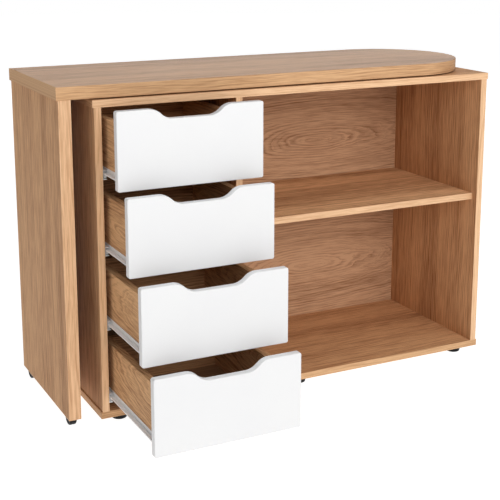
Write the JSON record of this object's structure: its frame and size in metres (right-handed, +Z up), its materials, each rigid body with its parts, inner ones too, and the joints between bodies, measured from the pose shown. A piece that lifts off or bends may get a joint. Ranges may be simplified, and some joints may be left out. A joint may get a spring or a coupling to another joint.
{
  "type": "sewing table",
  "caption": "Storage cabinet with four notched drawers and two open compartments, carrying a worktop with a half-round end that swings on a pivot and stands on a castored leg panel.",
  "frame": {"origin": "on the floor, at the centre of the table's outline as it stands at rest, with its worktop over the cabinet and its drawers part open", "axes": "+X along the cabinet, towards the round end of the worktop; +Y from the drawer fronts to the back; +Z up"},
  "size_m": [1.104, 0.672, 0.76],
  "materials": {
    "oak_board": "matt decor foil with vertical or lengthwise oak grain",
    "oak_worktop": "satin oak-effect laminate",
    "oak_edge": "satin oak-effect edge band",
    "white_front": "smooth satin white foil",
    "drawer_bottom_board": "thin board with decor foil",
    "white_enamel": "white epoxy enamel",
    "white_nylon": "moulded nylon",
    "black_plastic": "moulded black plastic",
    "steel": "zinc-plated steel",
    "dowel_wood": "plain beech"
  },
  "bodies": {
    "cabinet": {"cabinet_top_panel": "oak_board", "cabinet_bottom_panel": "oak_board", "left_side_panel": "oak_board", "right_side_panel": "oak_board", "divider_panel": "oak_board", "back_panel": "oak_board", "adjustable_shelf": "oak_board", "cabinet_edge_bands": "oak_edge", "shelf_pins": "steel", "glide_feet": "black_plastic", "foot_screws": "steel", "panel_dowels": "dowel_wood", "assembly_screws": "steel", "pivot_bushing": "white_nylon", "runner_rails": "white_enamel", "runner_rail_screws": "steel"},
    "swing_top": {"worktop_board": "oak_worktop", "worktop_edge_band": "oak_edge", "pivot_bolt": "steel", "pivot_nut": "steel", "leg_panel": "oak_board", "leg_edge_bands": "oak_edge", "leg_cam_locks": "steel", "leg_cam_bolts": "steel", "castor_housings": "black_plastic", "castor_axles": "steel"},
    "front_castor": {"front_castor_wheel": "black_plastic"},
    "rear_castor": {"rear_castor_wheel": "black_plastic"},
    "drawer_1": {"drawer_1_front": "white_front", "drawer_1_left_side": "oak_board", "drawer_1_right_side": "oak_board", "drawer_1_back": "oak_board", "drawer_1_bottom": "drawer_bottom_board", "drawer_1_runners": "white_enamel"},
    "drawer_2": {"drawer_2_front": "white_front", "drawer_2_left_side": "oak_board", "drawer_2_right_side": "oak_board", "drawer_2_back": "oak_board", "drawer_2_bottom": "drawer_bottom_board", "drawer_2_runners": "white_enamel"},
    "drawer_3": {"drawer_3_front": "white_front", "drawer_3_left_side": "oak_board", "drawer_3_right_side": "oak_board", "drawer_3_back": "oak_board", "drawer_3_bottom": "drawer_bottom_board", "drawer_3_runners": "white_enamel"},
    "drawer_4": {"drawer_4_front": "white_front", "drawer_4_left_side": "oak_board", "drawer_4_right_side": "oak_board", "drawer_4_back": "oak_board", "drawer_4_bottom": "drawer_bottom_board", "drawer_4_runners": "white_enamel"},
    "drawer_1_rear_rollers": {"drawer_1_rollers": "white_nylon"},
    "cabinet_rollers_1": {"cabinet_rollers_1": "white_nylon"},
    "drawer_2_rear_rollers": {"drawer_2_rollers": "white_nylon"},
    "cabinet_rollers_2": {"cabinet_rollers_2": "white_nylon"},
    "drawer_3_rear_rollers": {"drawer_3_rollers": "white_nylon"},
    "cabinet_rollers_3": {"cabinet_rollers_3": "white_nylon"},
    "drawer_4_rear_rollers": {"drawer_4_rollers": "white_nylon"},
    "cabinet_rollers_4": {"cabinet_rollers_4": "white_nylon"}
  },
  "joints": [
    {"name": "worktop_swing", "type": "hinge", "parent": "cabinet", "child": "swing_top", "pos_m": [0.3645, 0.14596, 0.73], "axis": [0, 0, -1], "range_deg": [0, 270]},
    {"name": "front_castor_spin", "type": "hinge", "parent": "swing_top", "child": "front_castor", "pos_m": [-0.534, -0.00404, 0.02], "axis": [1, 0, 0], "continuous": true},
    {"name": "rear_castor_spin", "type": "hinge", "parent": "swing_top", "child": "rear_castor", "pos_m": [-0.534, 0.29596, 0.02], "axis": [1, 0, 0], "continuous": true},
    {"name": "drawer_1_slide", "type": "slide", "parent": "cabinet", "child": "drawer_1", "axis": [0, -1, 0], "range_m": [-0.09918, 0.18582]},
    {"name": "drawer_2_slide", "type": "slide", "parent": "cabinet", "child": "drawer_2", "axis": [0, -1, 0], "range_m": [-0.15138, 0.13362]},
    {"name": "drawer_3_slide", "type": "slide", "parent": "cabinet", "child": "drawer_3", "axis": [0, -1, 0], "range_m": [-0.21576, 0.06924]},
    {"name": "drawer_4_slide", "type": "slide", "parent": "cabinet", "child": "drawer_4", "axis": [0, -1, 0], "range_m": [-0.27492, 0.01008]},
    {"name": "drawer_1_rear_rollers_spin", "type": "hinge", "parent": "drawer_1", "child": "drawer_1_rear_rollers", "pos_m": [-0.3, 0.19678, 0.564], "axis": [1, 0, 0], "continuous": true},
    {"name": "cabinet_rollers_1_spin", "type": "hinge", "parent": "cabinet", "child": "cabinet_rollers_1", "pos_m": [-0.3, -0.03204, 0.5642], "axis": [1, 0, 0], "continuous": true},
    {"name": "drawer_2_rear_rollers_spin", "type": "hinge", "parent": "drawer_2", "child": "drawer_2_rear_rollers", "pos_m": [-0.3, 0.14458, 0.395], "axis": [1, 0, 0], "continuous": true},
    {"name": "cabinet_rollers_2_spin", "type": "hinge", "parent": "cabinet", "child": "cabinet_rollers_2", "pos_m": [-0.3, -0.03204, 0.3952], "axis": [1, 0, 0], "continuous": true},
    {"name": "drawer_3_rear_rollers_spin", "type": "hinge", "parent": "drawer_3", "child": "drawer_3_rear_rollers", "pos_m": [-0.3, 0.0802, 0.226], "axis": [1, 0, 0], "continuous": true},
    {"name": "cabinet_rollers_3_spin", "type": "hinge", "parent": "cabinet", "child": "cabinet_rollers_3", "pos_m": [-0.3, -0.03204, 0.2262], "axis": [1, 0, 0], "continuous": true},
    {"name": "drawer_4_rear_rollers_spin", "type": "hinge", "parent": "drawer_4", "child": "drawer_4_rear_rollers", "pos_m": [-0.3, 0.02104, 0.057], "axis": [1, 0, 0], "continuous": true},
    {"name": "cabinet_rollers_4_spin", "type": "hinge", "parent": "cabinet", "child": "cabinet_rollers_4", "pos_m": [-0.3, -0.03204, 0.0572], "axis": [1, 0, 0], "continuous": true}
  ],
  "couplings": [
    {"joint": "drawer_1_rear_rollers_spin", "follows": "drawer_1_slide", "rad_per_m": 166.67},
    {"joint": "cabinet_rollers_1_spin", "follows": "drawer_1_slide", "rad_per_m": 166.67},
    {"joint": "drawer_2_rear_rollers_spin", "follows": "drawer_2_slide", "rad_per_m": 166.67},
    {"joint": "cabinet_rollers_2_spin", "follows": "drawer_2_slide", "rad_per_m": 166.67},
    {"joint": "drawer_3_rear_rollers_spin", "follows": "drawer_3_slide", "rad_per_m": 166.67},
    {"joint": "cabinet_rollers_3_spin", "follows": "drawer_3_slide", "rad_per_m": 166.67},
    {"joint": "drawer_4_rear_rollers_spin", "follows": "drawer_4_slide", "rad_per_m": 166.67},
    {"joint": "cabinet_rollers_4_spin", "follows": "drawer_4_slide", "rad_per_m": 166.67}
  ]
}
